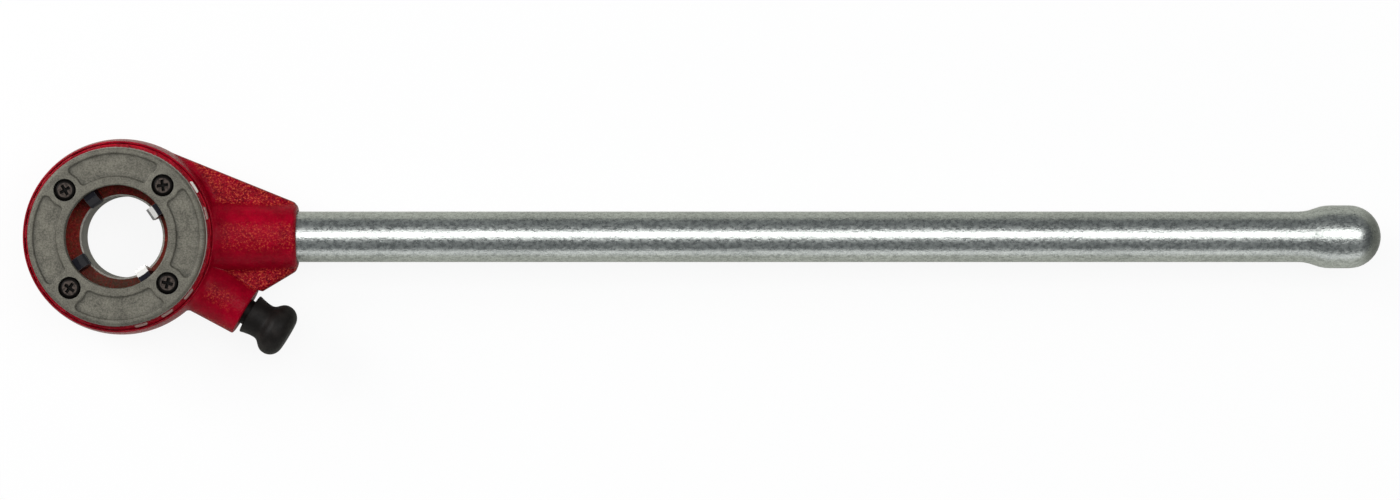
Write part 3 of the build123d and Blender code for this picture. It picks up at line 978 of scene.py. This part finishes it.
@dataclass(frozen=True)
class RedGrease(Finish):
    """Red grease with grime in it, painted brighter than the enamel to stand in for the light
    that hardly reaches the narrow gap it fills.
    """

    name: str = "red_grease"
    clean_lit: Colour = (0.600, 0.006, 0.024)
    dirty: Colour = (0.320, 0.004, 0.012)
    lump_grain: Grain = Grain(1.6 * MM)
    streak_grain: Grain = Grain(6 * MM, detail=2.0)
    lump_share: float = 0.5
    streak_share: float = 0.5
    roughness: float = 0.40
    lump_roughness: float = 0.2
    gloss: float = 0.1
    relief_depth: float = 0.15 * MM
    relief_share: float = 0.5

    def material(self) -> bpy.types.Material:
        """Makes the material.

        Returns:
            The material.
        """
        bench = Bench(self.name)
        lumps = bench.noise(self.lump_grain)
        streaks = bench.noise(self.streak_grain)
        tone = lumps.ramp(*FIRM) * self.lump_share + streaks.ramp(*FIRM) * self.streak_share
        return bench.finish(
            {
                "Base Color": bench.blend(self.dirty, self.clean_lit, tone),
                "Roughness": self.roughness + lumps * self.lump_roughness,
                "Specular IOR Level": self.gloss,
                "Normal": bench.relief(lumps, self.relief_depth, self.relief_share),
            }
        )


def swept(
    name: str, rounds: Sequence[Sequence[Point]], closed: bool, finish: Finish
) -> bpy.types.Object:
    """Builds a piece from cross sections that follow each other.

    Args:
        name: The piece's name.
        rounds: The corners of each cross section, in the same order in each.
        closed: Whether the last cross section joins the first. Otherwise both ends get a face.
        finish: What the piece is finished in.

    Returns:
        The piece.
    """
    shape = bmesh.new()
    corners = [[shape.verts.new(point) for point in points] for points in rounds]
    following = corners[1:] + corners[:1] if closed else corners[1:]
    for here, there in zip(corners, following):
        for place, corner in enumerate(here):
            after = (place + 1) % len(here)
            face = shape.faces.new((corner, there[place], there[after], here[after]))
            face.smooth = True
    if not closed:
        shape.faces.new(corners[0])
        shape.faces.new(corners[-1])
    bmesh.ops.recalc_face_normals(shape, faces=shape.faces)
    mesh = bpy.data.meshes.new(name)
    shape.to_mesh(mesh)
    shape.free()
    mesh.materials.append(finish.material())
    piece = bpy.data.objects.new(name, mesh)
    bpy.context.scene.collection.objects.link(piece)
    log.info("%s built with %s", name, finish.name)
    return piece


@dataclass
class GreaseBead:
    """The grease that has come up between the die head and its ring. It fills the narrow gap
    there, which would otherwise show dark, and its colour is painted bright.

    Attributes:
        inner_radius: Its inner side.
        outer_radius: Its outer side.
        top: The height of its top.
        depth: How far down it reaches.
        swell: How far the top rises and falls along the bead.
        waves: How fast it does so.
        crest: The top's corners, from the outer to the inner one. The first number is how far
            out each is, in halves of the width, and the second how far down, in swells.
        steps: Cross sections in the round.
        finish: What it is finished in.
    """

    inner_radius: float = 47.5 * MM
    outer_radius: float = 48.83 * MM
    top: float = 44.45 * MM
    depth: float = 2.4 * MM
    swell: float = 0.25 * MM
    waves: float = 9.0
    crest: tuple[tuple[float, float], ...] = (
        (1.0, 2.0),
        (0.6, 0.5),
        (0.0, 0.0),
        (-0.6, 0.3),
        (-1.0, 1.0),
    )
    steps: int = 240
    finish: Finish = field(default_factory=RedGrease)

    def _section(self, swelling: float) -> list[tuple[float, float]]:
        """Gives the bead's cross section.

        Args:
            swelling: How far the bead stands up here, from -1 to 1.

        Returns:
            Radii and heights, all the way round.
        """
        middle = (self.inner_radius + self.outer_radius) / 2
        half = (self.outer_radius - self.inner_radius) / 2
        top = self.top + self.swell * swelling
        foot = self.top - self.depth
        crest = [(middle + half * out, top - self.swell * down) for out, down in self.crest]
        return [(self.inner_radius, foot), (self.outer_radius, foot), *crest]

    def build(self) -> bpy.types.Object:
        """Builds the bead on the die head.

        Returns:
            The piece.
        """
        rounds: list[list[Point]] = []
        for step in range(self.steps):
            angle = math.tau * step / self.steps
            east, north = math.cos(angle), math.sin(angle)
            swelling = noise.noise(Vector((east * self.waves, north * self.waves, 0.0)))
            section = self._section(swelling)
            rounds.append([(radius * east, radius * north, height) for radius, height in section])
        piece = swept("grease_bead", rounds, closed=True, finish=self.finish)
        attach(piece, "die_head")
        return piece


@dataclass
class PawlSpring:
    """The coil spring behind the pawl. It is built at one length and does not shorten as the pawl
    is pulled out.

    Attributes:
        direction: Where it stands, in degrees from +X.
        axis_height: The height of its axis.
        first_turn: Its end next to the pawl, from the bore's axis.
        last_turn: Its end next to the end wall.
        end_wall: The wall that it leans on. Not used.
        mean_radius: The middle of the wire, from the spring's axis.
        wire_radius: Half the wire's thickness.
        turns: Turns of wire.
        steps_per_turn: Cross sections in a turn.
        corners: Corners of a cross section.
        pulled_share: How long it is with the pawl pulled out, as a share. Not used.
        finish: What it is finished in.
    """

    direction: float = -31.0
    axis_height: float = 28 * MM
    first_turn: float = 57.8 * MM
    last_turn: float = 69.6 * MM
    end_wall: float = 70.4 * MM
    mean_radius: float = 5.25 * MM
    wire_radius: float = 0.7 * MM
    turns: int = 5
    steps_per_turn: int = 48
    corners: int = 12
    pulled_share: float = 0.70
    finish: Finish = field(default_factory=SpringSteel)

    def _axes(self) -> tuple[Vector, Vector, Vector]:
        """Gives the spring's own axes.

        Returns:
            The directions along it, to its side and up.
        """
        turn = math.radians(self.direction)
        east, north = math.cos(turn), math.sin(turn)
        return Vector((east, north, 0.0)), Vector((-north, east, 0.0)), Vector((0.0, 0.0, 1.0))

    def _section(self, share: float) -> list[Point]:
        """Gives one cross section of the wire.

        Args:
            share: How far along the wire it is, from 0 to 1.

        Returns:
            Its corners.
        """
        along, side, up = self._axes()
        angle = math.tau * self.turns * share
        outward = side * math.cos(angle) + up * math.sin(angle)
        length = self.last_turn - self.first_turn
        rise = length / (math.tau * self.turns)
        ahead = (up * math.cos(angle) - side * math.sin(angle)) * self.mean_radius + along * rise
        across = ahead.normalized().cross(outward)
        middle = Vector((0.0, 0.0, self.axis_height)) + outward * self.mean_radius
        middle += along * (self.first_turn + length * share)
        points = []
        for corner in range(self.corners):
            bearing = math.tau * corner / self.corners
            point = outward * math.cos(bearing) + across * math.sin(bearing)
            points.append(tuple(middle + point * self.wire_radius))
        return points

    def build(self) -> bpy.types.Object:
        """Builds the spring in place of its CAD node.

        Returns:
            The piece.
        """
        steps = self.turns * self.steps_per_turn
        rounds = [self._section(step / steps) for step in range(steps + 1)]
        piece = swept("pawl_spring_coil", rounds, closed=False, finish=self.finish)
        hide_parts("pawl_spring")
        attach(piece, "pawl_carrier")
        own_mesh(piece)
        return piece


@dataclass
class Threader:
    """The tool's CAD nodes, which get a finish each."""

    nodes: Mapping[str, bpy.types.Object]
    dies: int = 4
    screws: int = 4

    def plan(self) -> list[tuple[Sequence[str], Finish, Slot]]:
        """Says which nodes get which finish.

        Returns:
            The nodes' names, their finish and their slot.
        """
        dies = [f"die_{number + 1}" for number in range(self.dies)]
        screws = [f"cover_screw_{number + 1}" for number in range(self.screws)]
        return [
            (["ratchet_housing"], HousingEnamel(), Slot.RED_PAINT),
            (["die_head_body"], HeadEnamel(), Slot.RED_PAINT),
            (["handle"], ZincPlating(), Slot.ZINC_PLATE),
            (["cover_plate"], CoverCasting(), Slot.COVER_CASTING),
            (dies, DieSteel(), Slot.DIE_STEEL),
            (screws, ScrewBlack(), Slot.BLACK_SCREW),
            (["pawl_knob"], KnobBlack(), Slot.BLACK_KNOB),
            (["pawl", "knob_pin"], PawlSteel(), Slot.DIE_STEEL),
            (["pawl_spring", "retaining_ring"], SpringSteel(), Slot.SPRING_STEEL),
        ]

    def dress(self) -> None:
        """Gives each node its finish."""
        for names, finish, slot in self.plan():
            material = finish.material()
            for name in names:
                node = self.nodes[name]
                node.data.materials.clear()
                node.data.materials.append(material)
                log.info("%s has %s", name, finish.name)


@dataclass(frozen=True)
class Lamp:
    """A soft rectangular lamp.

    Attributes:
        name: The lamp's name.
        place: Where it hangs.
        aim: The point it faces.
        size: Its width and height.
        power: Its power in watts.
    """

    name: str
    place: Point
    aim: Point
    size: tuple[float, float]
    power: float

    def hang(self) -> None:
        """Hangs the lamp at its place, facing its aim."""
        data = bpy.data.lights.new(self.name, "AREA")
        data.shape = "RECTANGLE"
        data.size, data.size_y = self.size
        data.energy = self.power
        lamp = bpy.data.objects.new(self.name, data)
        lamp.location = self.place
        towards = Vector(self.aim) - Vector(self.place)
        lamp.rotation_euler = towards.to_track_quat("-Z", "Y").to_euler()
        bpy.context.scene.collection.objects.link(lamp)
        log.info("lamp %s hung", self.name)


@dataclass
class Studio:
    """The pale floor, the soft lamps and the camera.

    Attributes:
        camera_place: Where the camera hangs. It looks straight down.
        lens: Its focal length in millimetres.
        sensor: The width of its picture in millimetres.
        sight: How far it sees, in metres.
        floor_size: The floor's side.
        floor_colour: What the floor lights the tool with.
        floor_white: What the camera sees of its lit share.
        glow_colour: The colour that it shines with where it is seen, without lighting the tool.
        glow_level: How bright that is. 1 is white.
        white_share: How much of the floor shines. The rest is lit, which keeps the shadow.
        glossy_share: How much of that shine is in reflections.
        world_colour: The colour of the even light.
        world_level: How strong that light is.
        lamps: The soft lamps.
    """

    camera_place: Point = (0.3051, -0.00697, 2.640)
    lens: float = 127.2
    sensor: float = 36.0
    sight: float = 50.0
    floor_size: float = 30.0
    floor_colour: Colour = (0.560, 0.570, 0.505)
    floor_white: Colour = (0.950, 0.950, 0.950)
    glow_colour: Colour = (1.0, 1.0, 1.0)
    glow_level: float = 1.0
    white_share: float = 0.90
    glossy_share: float = 0.15
    world_colour: Colour = (0.900, 0.960, 1.000)
    world_level: float = 0.20
    lamps: tuple[Lamp, ...] = (
        Lamp("strip", (0.95, 0.38, 2.2), (0.95, 0.0, 0.03), size=(3.2, 1.15), power=35.0),
        Lamp("key", (-1.7, 1.0, 1.25), (0.1, 0.0, 0.03), size=(1.2, 1.2), power=39.0),
        Lamp("front_fill", (0.30, -3.0, 0.7), (0.30, 0.0, 0.0), size=(6.0, 1.2), power=24.0),
    )

    def build(self) -> None:
        """Sets up the studio."""
        self._camera()
        self._floor()
        self._world()
        for lamp in self.lamps:
            lamp.hang()

    def _camera(self) -> None:
        """Hangs the camera straight over the tool."""
        data = bpy.data.cameras.new("camera")
        data.lens = self.lens
        data.sensor_width = self.sensor
        data.clip_end = self.sight
        camera = bpy.data.objects.new("camera", data)
        camera.location = self.camera_place
        bpy.context.scene.collection.objects.link(camera)
        bpy.context.scene.camera = camera

    def _floor(self) -> None:
        """Lays the floor, which shows white and keeps the tool's shadow."""
        half = self.floor_size / 2
        mesh = bpy.data.meshes.new("floor")
        mesh.from_pydata(
            [(-half, -half, 0.0), (half, -half, 0.0), (half, half, 0.0), (-half, half, 0.0)],
            [],
            [(0, 1, 2, 3)],
        )
        floor = bpy.data.objects.new("floor", mesh)
        bpy.context.scene.collection.objects.link(floor)
        bench = Bench("floor")
        path = bench.node("ShaderNodeLightPath").outputs
        camera = Value(bench, path["Is Camera Ray"])
        glossy = Value(bench, path["Is Glossy Ray"])
        through = Value(bench, path["Is Transmission Ray"])
        seen = camera.larger(glossy * self.glossy_share).larger(through)
        shade = bench.blend(self.floor_colour, self.floor_white, camera.larger(through))
        matt = bench.node("ShaderNodeBsdfDiffuse", feeds={"Color": shade})
        glow = {"Color": self.glow_colour, "Strength": self.glow_level}
        white = bench.node("ShaderNodeEmission", feeds=glow)
        both = bench.node(
            "ShaderNodeMixShader",
            feeds={0: seen * self.white_share, 1: matt.outputs[0], 2: white.outputs[0]},
        )
        bench.node("ShaderNodeOutputMaterial", feeds={"Surface": both.outputs[0]})
        mesh.materials.append(bench.material)
        log.info("floor laid")

    def _world(self) -> None:
        """Sets the even light from all round."""
        world = bpy.data.worlds.new("world")
        world.use_nodes = True
        background = world.node_tree.nodes["Background"]
        background.inputs["Color"].default_value = (*self.world_colour, 1.0)
        background.inputs["Strength"].default_value = self.world_level
        bpy.context.scene.world = world


def main() -> None:
    """Dresses the tool and sets up its studio."""
    logging.basicConfig(level=logging.INFO, format="%(name)s: %(message)s")
    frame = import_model()
    bpy.context.scene.view_settings.view_transform = "Standard"
    Studio().build()
    Threader(frame["nodes"]).dress()
    GreaseBead().build()
    PawlSpring().build()


if __name__ == "__main__":
    main()
